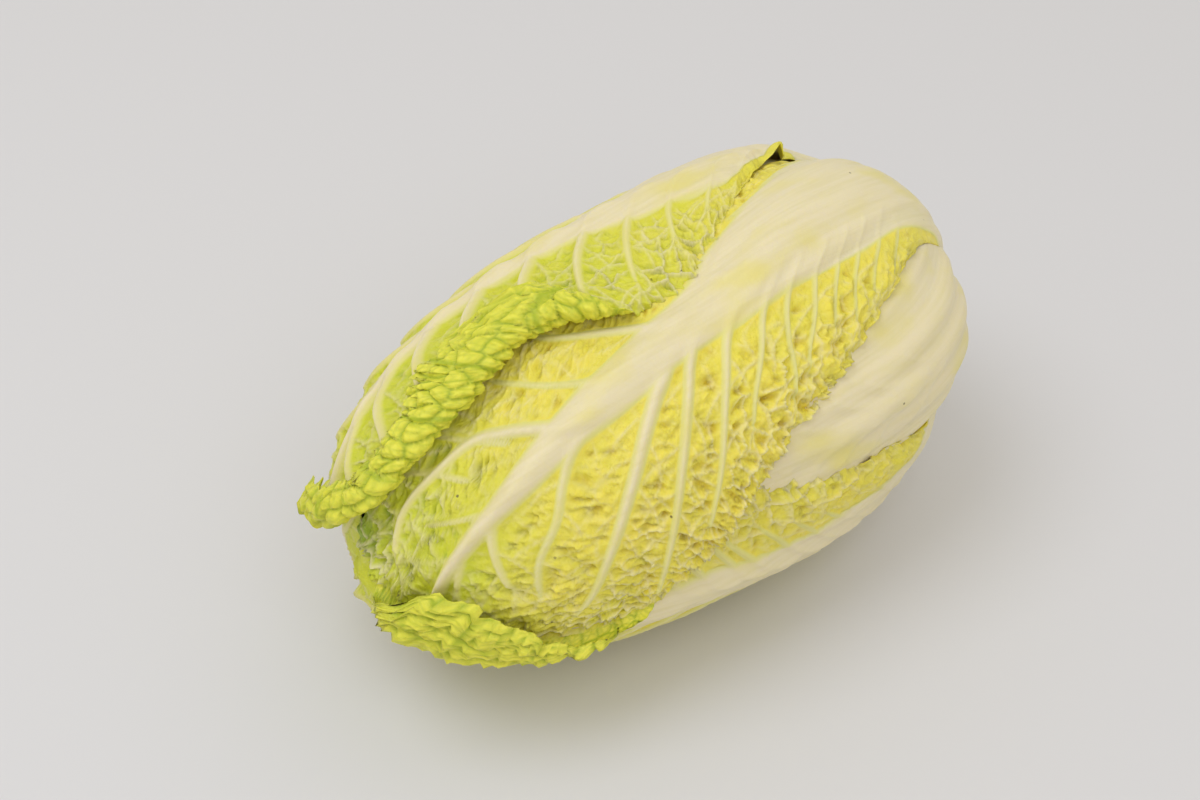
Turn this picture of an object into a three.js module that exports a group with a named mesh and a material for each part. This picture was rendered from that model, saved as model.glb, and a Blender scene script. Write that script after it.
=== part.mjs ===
// A napa cabbage lying on its side. Millimetres, +Z up.
// The stem end points along +X and the leaf tips along -X.
// Every leaf is a closed shell bent over the same barrel-shaped head. A leaf's own surface is
// measured by `across` (sideways from its middle plane) and `along` (from the centre of the stem
// end, over the side of the head, towards the tips). Leaves are stacked inwards from the outside.
import * as THREE from 'three';

// ---- the head
const HALF_LENGTH = 134;
const RADIUS = 78;
const BLUNTNESS = 2.35; // 2 would be an ellipsoid, more is squarer
const TAPER = 0.105; // how much wider the stem end is than the middle
const PRESSED_FLAT = 5.5; // how far the head's own weight flattens its underside
const PRESS_FADE = 26; // and how deep inside the leaves are round again
const PRESS_GIVE = 2; // leaves this far under their neighbours' margins are pressed level with them
const AXIS_HEIGHT = RADIUS - PRESSED_FLAT;
const AXIS_RISE = (TAPER * RADIUS) / HALF_LENGTH; // keeps the underside level

// ---- the leaves
const BASE_AT = 23; // where the leaf bases start, measured along the head
const BASE_WRAP = 0.5; // the bases curve round the stem until they start at this share of it
const BLADE_THICKNESS = 2.2;
// The air between one leaf and the next. The crumpled leaves inside lie less close.
const WRAPPER_GAP = [2.2, 2.2, 2.2, 2.4, 3.4];
const FOLDED_GAP = [2.8, 3.2, 4, 4.6, 4.8, 4.8, 4.8, 4.8, 4.8, 4.8, 4.8];
const GOLDEN_ANGLE = 137.5; // from one leaf to the next around the stem
const SHOULDER = 3; // a leaf presses the next one in by its full thickness this far past its margin
const SLOPE = 34; // and less and less over this distance beyond
const SLOPE_BY_GIRTH = 1; // shorter where the head is narrow: at most its radius times this
const TIP_ROUNDING = 0.8; // the share of the length where the margin starts to round off
const TIP_HALF_WIDTH = 12;
const ROLL_WIDTH = 22; // width of the crinkled rim that is rolled back

// Values along a leaf are given at equal steps from the stem end to the tip.
// How far the rib stands out of the blade, and the rib's half width.
const RIB_RISE = [4.5, 4.5, 4.3, 3.8, 3.2, 2.8, 2.4, 1.9, 1.4, 0.9, 0.4];
const FOLDED_RIB_RISE = [2.5, 2.5, 2.5, 2.3, 2, 1.7, 1.4, 1.1, 0.8, 0.5, 0.3];
const RIB_HALF_WIDTH = [20, 25, 27, 23, 19, 13, 10, 8, 6, 5, 4];
const WIDE_RIB_HALF_WIDTH = [22, 29, 33, 32, 25, 18, 13, 10, 8, 6, 5];
const RIB_SPREAD = 1.5; // the rib's flanks run out over this many half widths

const STRAIGHT = [0, 0];
const NO_ROLL = [0, 0];

// Outermost first. `turn` is the angle around the head: 0 is up, 90 is the front (-Y).
const WRAPPER_LEAVES = [
  {
    name: 'wrapper_leaf_upper',
    turn: -32,
    length: 338,
    sway: [2, 2, 4, 6, 7, 7, 3, -4, -8, -11, -12],
    left: [24, 32, 40, 48, 56, 62, 66, 68, 64, 54, 30],
    right: [24, 27, 26, 23, 32, 54, 58, 46, 52, 54, 30],
    rib: RIB_HALF_WIDTH,
    roll: [0, 0, 0, 0, 0, 0, 2, 5, 6, 7, 7],
  },
  {
    name: 'wrapper_leaf_front',
    turn: 28,
    length: 340,
    sway: [-8, -18, -26, -23, -18, -10, -3, 4, 14, 24, 36],
    left: [24, 32, 38, 46, 54, 62, 68, 70, 68, 60, 46],
    right: [24, 29, 33, 43, 58, 63, 78, 86, 88, 86, 62],
    rib: RIB_HALF_WIDTH,
    roll: [0, 0, 0, 0, 0, 0, 0, 0, 0, 3, 7],
  },
  {
    name: 'wrapper_leaf_lower',
    turn: 118,
    length: 348,
    sway: [6, 10, 12, 9, 0, -10, -16, -14, -9, -4, 0],
    left: [24, 32, 36, 41, 44, 45, 54, 64, 66, 56, 34],
    right: [24, 32, 36, 38, 44, 50, 54, 56, 56, 48, 28],
    rib: RIB_HALF_WIDTH,
    roll: NO_ROLL,
  },
  {
    name: 'wrapper_leaf_back',
    turn: -112,
    length: 346,
    sway: [0, -3, -6, -6, -3, 0, 4, 8, 8, 6, 4],
    left: [24, 32, 38, 42, 46, 50, 54, 56, 56, 48, 28],
    right: [24, 32, 38, 46, 56, 66, 72, 74, 68, 54, 30],
    rib: RIB_HALF_WIDTH,
    roll: NO_ROLL,
  },
  {
    name: 'wrapper_leaf_side',
    turn: 75,
    length: 336,
    sway: [-3, -7, -7, -6, -5, -4, 0, 2, 2, 0, 0],
    left: [26, 35, 45, 53, 62, 72, 78, 76, 66, 50, 28],
    right: [26, 35, 45, 53, 62, 70, 76, 76, 66, 50, 28],
    rib: WIDE_RIB_HALF_WIDTH,
    roll: NO_ROLL,
  },
  {
    name: 'wrapper_leaf_under',
    turn: 184,
    length: 340,
    sway: STRAIGHT,
    left: [26, 34, 42, 50, 60, 70, 76, 76, 66, 50, 28],
    right: [26, 34, 42, 50, 60, 70, 76, 76, 66, 50, 28],
    rib: WIDE_RIB_HALF_WIDTH,
    roll: NO_ROLL,
  },
];

// The leaves under the wrappers follow one another round the stem by the golden angle.
const FOLDED_COUNTS = [['middle_leaf', 7], ['inner_leaf', 7]];
const FOLDED_FIRST_TURN = 320;
const FOLDED_LENGTH = 322;
const FOLDED_SHORTENING = 1.5; // each leaf further in is this much shorter
const FOLDED_HALF_WIDTH = [10, 18, 30, 46, 60, 72, 78, 76, 64, 46, 26];

// ---- the stem and the heart
const STEM_AT = 21.3; // the cut stem's rim, measured along the head like BASE_AT
const STEM_CUT_AT = 128; // where the flat cut face lies along the head's axis
const STEM_DEPTH = 74; // from the head's outline to the inner end of the stem
const STEM_SIDES = 24;
const HEART_CLEARANCE = 6;
const HEART_ROWS = 18;
const HEART_SIDES = 22;
const HEART_END_DEPTH = 90; // the heart is held back this far near its end, clear of the stem
const HEART_END_REACH = 34; // out to this distance, measured along the head
const HEART_END_SLOPE = 30;

// ---- mesh density
const WRAPPER_CELLS = [12, 17]; // across, along
const FOLDED_CELLS = [8, 12];
const ARC_STEPS = 720;
const CROWDING = 1.1; // over 1, the columns are closer together at the rib
const BASE_FADE = 5; // how soon the rows straighten out away from the stem

const DEGREE = Math.PI / 180;

function clamp(value, low, high) {
  return Math.min(high, Math.max(low, value));
}

function smoothstep(value) {
  const t = clamp(value, 0, 1);
  return t * t * (3 - 2 * t);
}

// Smooth curve through equally spaced values.
function valueAt(values, share) {
  const last = values.length - 1;
  const place = clamp(share, 0, 1) * last;
  const i = Math.min(Math.floor(place), last - 1);
  const t = place - i;
  const before = values[Math.max(i - 1, 0)];
  const a = values[i];
  const b = values[i + 1];
  const after = values[Math.min(i + 2, last)];
  const slopeA = (b - before) / 2;
  const slopeB = (after - a) / 2;
  const t2 = t * t;
  const t3 = t2 * t;
  return (2 * t3 - 3 * t2 + 1) * a + (t3 - 2 * t2 + t) * slopeA
    + (3 * t2 - 2 * t3) * b + (t3 - t2) * slopeB;
}

// Distance from the head's centre to its outline, in a direction given as lengthwise and crosswise.
function outlineDistance(lengthwise, crosswise) {
  const end = Math.abs(lengthwise / HALF_LENGTH) ** BLUNTNESS;
  const side = Math.abs(crosswise / RADIUS) ** BLUNTNESS;
  return (end + side) ** (-1 / BLUNTNESS);
}

// Length along the head's profile for each angle from the stem end, one full turn.
const arcLengths = [0];
for (let i = 1; i <= ARC_STEPS; i += 1) {
  const a0 = ((i - 1) / ARC_STEPS) * 2 * Math.PI;
  const a1 = (i / ARC_STEPS) * 2 * Math.PI;
  const r0 = outlineDistance(Math.cos(a0), Math.sin(a0));
  const r1 = outlineDistance(Math.cos(a1), Math.sin(a1));
  const step = Math.hypot(r1 * Math.cos(a1) - r0 * Math.cos(a0), r1 * Math.sin(a1) - r0 * Math.sin(a0));
  arcLengths.push(arcLengths[i - 1] + step);
}

function angleAlong(length) {
  let i = 1;
  while (arcLengths[i] < length && i < ARC_STEPS) i += 1;
  const t = (length - arcLengths[i - 1]) / (arcLengths[i] - arcLengths[i - 1]);
  return ((i - 1 + t) / ARC_STEPS) * 2 * Math.PI;
}

function lengthTo(angle) {
  const place = clamp(angle / (2 * Math.PI), 0, 1) * ARC_STEPS;
  const i = Math.min(Math.floor(place), ARC_STEPS - 1);
  return arcLengths[i] + (place - i) * (arcLengths[i + 1] - arcLengths[i]);
}

// A leaf's middle plane: `out` points away from the axis and `side` towards larger turns.
function leafAxes(turn) {
  const t = turn * DEGREE;
  return {
    out: new THREE.Vector3(0, -Math.sin(t), Math.cos(t)),
    side: new THREE.Vector3(0, -Math.cos(t), -Math.sin(t)),
  };
}

function directionOf(axes, across, along) {
  const angle = angleAlong(along);
  const swing = across / outlineDistance(Math.cos(angle), Math.sin(angle));
  const direction = new THREE.Vector3(Math.cos(angle), 0, 0).addScaledVector(axes.out, Math.sin(angle));
  return direction.multiplyScalar(Math.cos(swing)).addScaledVector(axes.side, Math.sin(swing));
}

function onLeaf(axes, direction) {
  let angle = Math.atan2(direction.dot(axes.out), direction.x);
  if (angle < -Math.PI / 2) angle += 2 * Math.PI;
  const distance = outlineDistance(Math.cos(angle), Math.sin(angle));
  const across = distance * Math.asin(clamp(direction.dot(axes.side), -1, 1));
  const along = angle < 0 ? -lengthTo(-angle) : lengthTo(angle);
  return { across, along };
}

// The height of the flattened underside, `pressed` being the depth of the leaves that lie below.
function lowestAt(pressed) {
  const over = Math.max(pressed - PRESS_GIVE, 0);
  return over - (PRESSED_FLAT - PRESS_GIVE) * (1 - Math.exp(-over / PRESS_FADE));
}

// The point in a direction from the head's centre that lies `depth` inside its outline.
function pointAt(direction, depth, pressed = depth) {
  const crosswise = Math.hypot(direction.y, direction.z);
  const distance = outlineDistance(direction.x, crosswise) - depth;
  const x = direction.x * distance;
  const widening = 1 + (TAPER * x) / HALF_LENGTH;
  const y = direction.y * distance * widening;
  const z = direction.z * distance * widening + AXIS_HEIGHT + AXIS_RISE * x;
  return new THREE.Vector3(x, y, Math.max(z, lowestAt(pressed)));
}

function halfWidth(widths, share) {
  const full = valueAt(widths, share);
  const past = clamp((share - TIP_ROUNDING) / (1 - TIP_ROUNDING), 0, 1);
  return TIP_HALF_WIDTH + (full - TIP_HALF_WIDTH) * Math.sqrt(1 - past * past);
}

function margins(leaf, share) {
  const middle = valueAt(leaf.sway, share);
  return {
    middle,
    low: middle - halfWidth(leaf.left, share),
    high: middle + halfWidth(leaf.right, share),
  };
}

function ribShare(leaf, share, across) {
  const reach = RIB_SPREAD * valueAt(leaf.rib, share);
  const t = clamp(Math.abs(across - valueAt(leaf.sway, share)) / reach, 0, 1);
  return Math.cos((t * Math.PI) / 2) ** 2;
}

// How much of the leaf's thickness lies over a direction: 1 under the leaf, 0 well away from it.
function cover(leaf, direction) {
  const { across, along } = onLeaf(leaf.axes, direction);
  const share = clamp(along / leaf.length, 0, 1);
  const { low, high } = margins(leaf, share);
  const beside = Math.max(low - across, across - high, 0);
  const beyond = Math.max(along - leaf.length, BASE_WRAP * BASE_AT - along, 0);
  const crosswise = Math.hypot(direction.y, direction.z);
  const radius = crosswise * outlineDistance(direction.x, crosswise);
  const slope = Math.min(SLOPE, SLOPE_BY_GIRTH * Math.max(radius, BASE_AT));
  return 1 - smoothstep((Math.hypot(beside, beyond) - SHOULDER) / slope);
}

function layerDepth(leaf, share) {
  return BLADE_THICKNESS + valueAt(leaf.rise, share) + valueAt(leaf.gap, share);
}

// Total depth of the first `count` leaves in a direction.
function stackDepth(leaves, count, direction) {
  let depth = 0;
  for (const leaf of leaves.slice(0, count)) {
    const share = clamp(onLeaf(leaf.axes, direction).along / leaf.length, 0, 1);
    depth += cover(leaf, direction) * layerDepth(leaf, share);
  }
  return depth;
}

// The rolled-back rim: none over most of the blade, rising towards the right margin and the tip.
function rollRise(leaf, share, across, high) {
  const fromSide = high - across;
  const fromTip = (1 - share) * leaf.length;
  const fromMargin = Math.min(fromSide, fromTip);
  return valueAt(leaf.roll, share) * (1 - smoothstep(fromMargin / ROLL_WIDTH));
}

function addGrid(index, rows, columns, start, outward) {
  for (let i = 0; i < rows; i += 1) {
    for (let j = 0; j < columns; j += 1) {
      const a = start + i * (columns + 1) + j;
      const b = a + 1;
      const c = a + columns + 1;
      const d = c + 1;
      if (outward) index.push(a, c, b, b, c, d);
      else index.push(a, b, c, b, d, c);
    }
  }
}

function geometryOf(points, index) {
  const geometry = new THREE.BufferGeometry();
  const flat = points.flatMap((point) => [point.x, point.y, point.z]);
  geometry.setAttribute('position', new THREE.Float32BufferAttribute(flat, 3));
  geometry.setIndex(index);
  return geometry;
}

// The bases curve round the stem.
function baseAt(across) {
  const round = Math.sqrt(Math.max(BASE_AT ** 2 - across ** 2, 0));
  return Math.max(round, BASE_WRAP * BASE_AT);
}

// One leaf: an outer and an inner face joined round the margin.
function leafGeometry(leaves, number, [columns, rows]) {
  const leaf = leaves[number];
  const outer = [];
  const inner = [];
  for (let i = 0; i <= rows; i += 1) {
    const s = i / rows;
    const along = BASE_AT + (leaf.length - BASE_AT) * s * (1.25 - 0.25 * s);
    const share = along / leaf.length;
    const { middle, low, high } = margins(leaf, share);
    for (let j = 0; j <= columns; j += 1) {
      const u = (2 * j) / columns - 1;
      const reach = Math.sign(u) * Math.abs(u) ** CROWDING;
      const across = middle + reach * (u < 0 ? middle - low : high - middle);
      const pulledBack = (BASE_AT - baseAt(across)) * (1 - s) ** BASE_FADE;
      const direction = directionOf(leaf.axes, across, along - pulledBack);
      const stack = stackDepth(leaves, number, direction);
      const rise = valueAt(leaf.rise, share);
      const recess = rise * (1 - ribShare(leaf, share, across));
      outer.push(pointAt(direction, stack + recess - rollRise(leaf, share, across, high), stack));
      inner.push(pointAt(direction, stack + rise + BLADE_THICKNESS));
    }
  }
  const index = [];
  addGrid(index, rows, columns, 0, true);
  addGrid(index, rows, columns, outer.length, false);
  addRim(index, rows, columns, outer.length);
  return geometryOf([...outer, ...inner], index);
}

function addRim(index, rows, columns, offset) {
  const loop = [];
  for (let j = 0; j < columns; j += 1) loop.push(j);
  for (let i = 0; i < rows; i += 1) loop.push(i * (columns + 1) + columns);
  for (let j = columns; j > 0; j -= 1) loop.push(rows * (columns + 1) + j);
  for (let i = rows; i > 0; i -= 1) loop.push(i * (columns + 1));
  loop.forEach((a, k) => {
    const b = loop[(k + 1) % loop.length];
    index.push(a, b, a + offset, b, b + offset, a + offset);
  });
}

// A closed body given by rings of points between two poles.
function ringGeometry(firstPole, rings, lastPole) {
  const sides = rings[0].length;
  const points = [firstPole, ...rings.flat(), lastPole];
  const last = points.length - 1;
  const index = [];
  const at = (ring, side) => 1 + ring * sides + (side % sides);
  for (let side = 0; side < sides; side += 1) {
    index.push(0, at(0, side), at(0, side + 1));
    index.push(last, at(rings.length - 1, side + 1), at(rings.length - 1, side));
    for (let ring = 0; ring < rings.length - 1; ring += 1) {
      const a = at(ring, side);
      const b = at(ring, side + 1);
      const c = at(ring + 1, side);
      const d = at(ring + 1, side + 1);
      index.push(a, c, b, b, c, d);
    }
  }
  return geometryOf(points, index);
}

function polarDirection(angle, turn) {
  return new THREE.Vector3(
    Math.cos(angle),
    -Math.sin(angle) * Math.sin(turn),
    Math.sin(angle) * Math.cos(turn),
  );
}

// The tightly folded innermost leaves, taken together.
function heartGeometry(leaves) {
  const depthAt = (direction, angle) => {
    const outwards = (lengthTo(angle) - HEART_END_REACH) / HEART_END_SLOPE;
    const held = HEART_END_DEPTH * (1 - smoothstep(outwards));
    return Math.max(stackDepth(leaves, leaves.length, direction), held) + HEART_CLEARANCE;
  };
  const corner = (angle, turn) => {
    const direction = polarDirection(angle, turn);
    return pointAt(direction, depthAt(direction, angle));
  };
  const rings = [];
  for (let i = 1; i < HEART_ROWS; i += 1) {
    const ring = [];
    for (let j = 0; j < HEART_SIDES; j += 1) {
      ring.push(corner((i / HEART_ROWS) * Math.PI, (j / HEART_SIDES) * 2 * Math.PI));
    }
    rings.push(ring);
  }
  return ringGeometry(corner(0, 0), rings, corner(Math.PI, 0));
}

// The cut stem: a short plug that the leaf bases stand around.
function stemGeometry() {
  const rim = angleAlong(STEM_AT);
  const cut = (point) => point.setX(Math.min(point.x, STEM_CUT_AT));
  const ringAt = (angle, depth) => {
    const ring = [];
    for (let j = 0; j < STEM_SIDES; j += 1) {
      ring.push(cut(pointAt(polarDirection(angle, (j / STEM_SIDES) * 2 * Math.PI), depth)));
    }
    return ring;
  };
  const rings = [
    ringAt(rim * 0.5, 0),
    ringAt(rim, 0),
    ringAt(rim, STEM_DEPTH / 2),
    ringAt(rim, STEM_DEPTH),
    ringAt(rim * 0.5, STEM_DEPTH),
  ];
  const pole = new THREE.Vector3(1, 0, 0);
  return ringGeometry(cut(pointAt(pole, 0)), rings, pointAt(pole, STEM_DEPTH));
}

function foldedLeaves() {
  const leaves = [];
  for (const [name, count] of FOLDED_COUNTS) {
    for (let i = 1; i <= count; i += 1) {
      leaves.push({
        name: `${name}_${i}`,
        turn: FOLDED_FIRST_TURN + GOLDEN_ANGLE * leaves.length,
        length: FOLDED_LENGTH - FOLDED_SHORTENING * leaves.length,
        sway: STRAIGHT,
        left: FOLDED_HALF_WIDTH,
        right: FOLDED_HALF_WIDTH,
        rib: RIB_HALF_WIDTH,
        rise: FOLDED_RIB_RISE,
        roll: NO_ROLL,
        gap: FOLDED_GAP,
      });
    }
  }
  return leaves;
}

function named(name, geometry, color, roughness) {
  const material = new THREE.MeshStandardMaterial({ color, roughness, metalness: 0 });
  const mesh = new THREE.Mesh(geometry, material);
  mesh.name = name;
  return mesh;
}

for (const leaf of WRAPPER_LEAVES) Object.assign(leaf, { rise: RIB_RISE, gap: WRAPPER_GAP });
const leaves = [...WRAPPER_LEAVES, ...foldedLeaves()];
for (const leaf of leaves) leaf.axes = leafAxes(leaf.turn);

const WRAPPER_COLOR = 0xdfe38c;
const FOLDED_COLOR = 0xeeeaa8;
const HEART_COLOR = 0xf3eeb4;
const STEM_COLOR = 0xece6d0;

const group = new THREE.Group();
group.name = 'napa_cabbage';
leaves.forEach((leaf, number) => {
  const outermost = number < WRAPPER_LEAVES.length;
  const cells = outermost ? WRAPPER_CELLS : FOLDED_CELLS;
  const color = outermost ? WRAPPER_COLOR : FOLDED_COLOR;
  group.add(named(leaf.name, leafGeometry(leaves, number, cells), color, 0.5));
});
group.add(named('heart', heartGeometry(leaves), HEART_COLOR, 0.5));
group.add(named('stem', stemGeometry(), STEM_COLOR, 0.7));

// Stand the head on z = 0 with its box centred over the origin.
const box = new THREE.Box3().setFromObject(group);
const centre = box.getCenter(new THREE.Vector3());
for (const mesh of group.children) mesh.geometry.translate(-centre.x, -centre.y, -box.min.z);

export default group;
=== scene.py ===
"""The looks of a napa cabbage that lies on its side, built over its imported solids."""
import math
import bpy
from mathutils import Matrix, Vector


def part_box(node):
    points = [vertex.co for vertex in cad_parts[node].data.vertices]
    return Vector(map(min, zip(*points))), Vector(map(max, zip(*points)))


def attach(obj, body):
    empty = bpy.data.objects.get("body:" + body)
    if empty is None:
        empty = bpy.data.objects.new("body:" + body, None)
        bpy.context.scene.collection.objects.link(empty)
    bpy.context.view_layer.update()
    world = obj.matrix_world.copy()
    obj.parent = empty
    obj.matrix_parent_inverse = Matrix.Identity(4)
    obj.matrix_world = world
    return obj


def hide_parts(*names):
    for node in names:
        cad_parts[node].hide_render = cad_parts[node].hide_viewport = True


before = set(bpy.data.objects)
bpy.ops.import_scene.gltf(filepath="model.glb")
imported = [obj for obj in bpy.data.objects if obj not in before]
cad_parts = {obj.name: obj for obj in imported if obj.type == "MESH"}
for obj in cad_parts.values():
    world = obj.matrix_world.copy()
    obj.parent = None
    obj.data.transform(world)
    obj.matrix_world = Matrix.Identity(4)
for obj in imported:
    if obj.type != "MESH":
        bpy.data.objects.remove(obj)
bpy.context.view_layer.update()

from types import SimpleNamespace

import bpy
import numpy as np
from mathutils import Vector

MM = 0.001
AROUND = 96  # sides of a turned piece
DEGREE = math.pi / 180

# ---- the head, in millimetres: the same barrel that the solids are bent over
HALF_LENGTH = 134
RADIUS = 78
BLUNTNESS = 2.35  # 2 would be an ellipsoid
TAPER = 0.105  # how much wider the stem end is
PRESSED_FLAT = 5.5  # how far the head's weight flattens its underside
PRESS_FADE = 26  # how deep inside the leaves are round again
PRESS_GIVE = 2
AXIS_HEIGHT = RADIUS - PRESSED_FLAT
AXIS_RISE = TAPER * RADIUS / HALF_LENGTH  # keeps the underside level
STEM_CUT_AT = 128  # along the axis
ARC_STEPS = 720

# ---- the leaves. Lists give a value at equal steps from the stem end to the tip.
BASE_AT = 22  # where the bases start, along the head
BASE_WRAP = 0.5  # at the margins they start at this share of it
BASE_FADE = 5
BLADE = 0.9  # thickness
WRAPPER_GAP, FOLDED_GAP = 1.2, 1.6  # air between one leaf and the next
SHOULDER, SLOPE = 3, 34  # a leaf presses the next one in so far outside its margin
HIDING_FADE = 6  # and smooths it this far out
SIDE_SHARE = 0.9  # the side margins end and the tip's arc begins
TIP_ROUNDING, TIP_HALF_WIDTH = 0.8, 12
RIB_SPREAD = 1.5  # the rib's flanks run out over this many half widths
RIB_RISE = [1.2, 1.6, 2, 2.1, 2, 1.8, 1.6, 1.3, 1, 0.7, 0.3]
FOLDED_RIB_RISE = [1, 1.4, 1.7, 1.8, 1.6, 1.4, 1.1, 0.9, 0.6, 0.4, 0.2]
RIB = [20, 25, 27, 23, 19, 13, 10, 8, 6, 5, 4]
WIDE_RIB = [22, 29, 33, 32, 25, 18, 13, 10, 8, 6, 5]
WIDE_BLADE = [26, 34, 42, 50, 60, 70, 76, 76, 66, 50, 28]
FOLDED_BLADE = [10, 18, 30, 46, 60, 72, 78, 76, 64, 46, 26]

# ---- the leaves under the wrappers
GOLDEN_ANGLE = 137.5  # from one to the next, round the stem
GROUP_SIZE = 7
FOLDED_TURN, FOLDED_LENGTH, FOLDED_SHORTENING = 320, 322, 1.5

# ---- relief
VEIN_LEAD = 14  # side veins start this far back, on the rib
BLISTER, WRINKLE = 9.5, 3.6  # sizes
BULGE_AT, BULGE_WIDTH = -10, 11  # where a tip is wider
SCALLOP = 21  # length of a lobe of a rolled rim
TINY_PILLOW = 2.6
ROLL_SURE = 0.12  # a rim rolled back this much is turned over in full
UV_WIDE, UV_LONG = 260, 380  # the flat area that the texture coordinates span
FAR = 1e9
TILE = 256  # noise and cells repeat after so many units

# ---- sockets of Blender's colour mix
MIX_FACTOR, MIX_A, MIX_B, MIX_RESULT = 0, 6, 7, 2

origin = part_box("stem")
SHIFT_X = origin[1].x / MM - STEM_CUT_AT
SHIFT_Y = (origin[0].y + origin[1].y) / 2 / MM


# ======== small tools
def smooth(value):
    """0 up to 0, 1 from 1 on, and smooth between."""
    t = np.clip(value, 0, 1)
    return t * t * (3 - 2 * t)


def ease(value, start, width):
    """0 up to the start, 1 past the width after it, and smooth between."""
    return smooth((value - start) / width)


def bell(off, width):
    return np.exp(-(off / width) ** 2)


def value_at(values, share):
    """Smooth curve through equally spaced values."""
    values = np.asarray(values, float)
    last = len(values) - 1
    at = np.clip(share, 0, 1) * last
    i = np.minimum(np.floor(at).astype(int), last - 1)
    t = at - i
    before, a, b = values[np.maximum(i - 1, 0)], values[i], values[i + 1]
    after = values[np.minimum(i + 2, last)]
    slope_a, slope_b = (b - before) / 2, (after - a) / 2
    t2, t3 = t * t, t * t * t
    return ((2 * t3 - 3 * t2 + 1) * a + (t3 - 2 * t2 + t) * slope_a
            + (3 * t2 - 2 * t3) * b + (t3 - t2) * slope_b)


def noise(x, y, seed):
    """Gradient noise, about -1 to 1, one bump per unit."""
    angle = np.random.default_rng(seed).random((TILE, TILE)) * 2 * math.pi
    gx, gy = np.cos(angle), np.sin(angle)
    xi, yi = np.floor(x).astype(int), np.floor(y).astype(int)
    fx, fy = x - xi, y - yi
    wx = fx * fx * fx * (fx * (fx * 6 - 15) + 10)
    wy = fy * fy * fy * (fy * (fy * 6 - 15) + 10)

    def corner(dx, dy):
        a, b = (xi + dx) % TILE, (yi + dy) % TILE
        return gx[a, b] * (fx - dx) + gy[a, b] * (fy - dy)

    low = corner(0, 0) * (1 - wx) + corner(1, 0) * wx
    high = corner(0, 1) * (1 - wx) + corner(1, 1) * wx
    return (low * (1 - wy) + high * wy) * 1.5


def cells(x, y, seed, jitter=0.85):
    """Distance to the nearest wall between uneven cells, one cell per unit."""
    rng = np.random.default_rng(seed)
    jx = (rng.random((TILE, TILE)) - 0.5) * jitter + 0.5
    jy = (rng.random((TILE, TILE)) - 0.5) * jitter + 0.5
    xi, yi = np.floor(x).astype(int), np.floor(y).astype(int)
    middles = []
    for dx in (-1, 0, 1):
        for dy in (-1, 0, 1):
            a, b = (xi + dx) % TILE, (yi + dy) % TILE
            middles.append((xi + dx + jx[a, b], yi + dy + jy[a, b]))
    px, py = np.moveaxis(middles, 1, 0)
    d = np.hypot(px - x, py - y)
    two = np.argsort(d, axis=0, kind="stable")[:2]
    (first, second), (ax, bx), (ay, by) = (np.take_along_axis(v, two, 0) for v in (d, px, py))
    gap = np.maximum(np.hypot(bx - ax, by - ay), 1e-6)
    return (second ** 2 - first ** 2) / (2 * gap)


def curve_through(points, per=7):
    """Smooth line through points, with `per` places from each to the next."""
    p = np.asarray(points, float)
    p = np.vstack([2 * p[0] - p[1], p, 2 * p[-1] - p[-2]])
    out = []
    for i in range(1, len(p) - 2):
        t = np.linspace(0, 1, per, endpoint=False)[:, None]
        a, b, c, d = p[i - 1], p[i], p[i + 1], p[i + 2]
        out.append(0.5 * ((2 * b) + (c - a) * t + (2 * a - 5 * b + 4 * c - d) * t * t
                          + (3 * b - a - 3 * c + d) * t ** 3))
    out.append(p[-2][None, :])
    return np.vstack(out)


def nearest(x, y, line):
    """Distance to a line, the place along it (0 to 1), the foot, the side (+ is right), and the
    line's direction at the foot."""
    shape = x.shape
    x, y = x.ravel(), y.ravel()
    starts, steps = line[:-1], np.diff(line, axis=0)
    squared = np.maximum((steps ** 2).sum(1), 1e-9)
    size = np.sqrt(squared)
    run = np.concatenate([[0], np.cumsum(size)])
    best = np.full(x.size, FAR)
    which = np.zeros(x.size, int)
    for k, ((ax, ay), (bx, by)) in enumerate(zip(starts, steps)):
        t = np.clip(((x - ax) * bx + (y - ay) * by) / squared[k], 0, 1)
        d = (x - ax - t * bx) ** 2 + (y - ay - t * by) ** 2
        closer = d < best
        best[closer] = d[closer]
        which[closer] = k
    (ax, ay), (bx, by) = starts[which].T, steps[which].T
    t = np.clip(((x - ax) * bx + (y - ay) * by) / squared[which], 0, 1)
    at = (run[which] + t * size[which]) / run[-1]
    side = (x - ax) * by - (y - ay) * bx
    heading = steps / size[:, None]
    corner = np.vstack([heading[:1], (heading[:-1] + heading[1:]) / 2, heading[-1:]])
    tx, ty = (corner[which] * (1 - t)[:, None] + corner[which + 1] * t[:, None]).T
    norm = np.maximum(np.hypot(tx, ty), 1e-9)
    found = (np.sqrt(best), at, ax + t * bx, ay + t * by, side, tx / norm, ty / norm)
    return [values.reshape(shape) for values in found]


# ======== the head's shape
def reach(lengthwise, crosswise):
    """From the head's centre to its outline, in a direction given by its two parts."""
    end = np.abs(lengthwise / HALF_LENGTH) ** BLUNTNESS
    side = np.abs(crosswise / RADIUS) ** BLUNTNESS
    return (end + side) ** (-1 / BLUNTNESS)


# length along the head's profile for each angle from the stem end, one full turn
ARC_ANGLES = np.linspace(0, 2 * math.pi, ARC_STEPS + 1)
arc = reach(np.cos(ARC_ANGLES), np.sin(ARC_ANGLES))
arc_steps = np.hypot(np.diff(arc * np.cos(ARC_ANGLES)), np.diff(arc * np.sin(ARC_ANGLES)))
ARC_LENGTHS = np.concatenate([[0], np.cumsum(arc_steps)])


def angle_along(length):
    return np.interp(length, ARC_LENGTHS, ARC_ANGLES)


def length_to(angle):
    return np.interp(angle, ARC_ANGLES, ARC_LENGTHS)


def leaf_axes(turn):
    """A leaf's middle plane: away from the head's axis, and towards larger turns."""
    t = turn * DEGREE
    return np.array([0, -math.sin(t), math.cos(t)]), np.array([0, -math.cos(t), -math.sin(t)])


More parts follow.
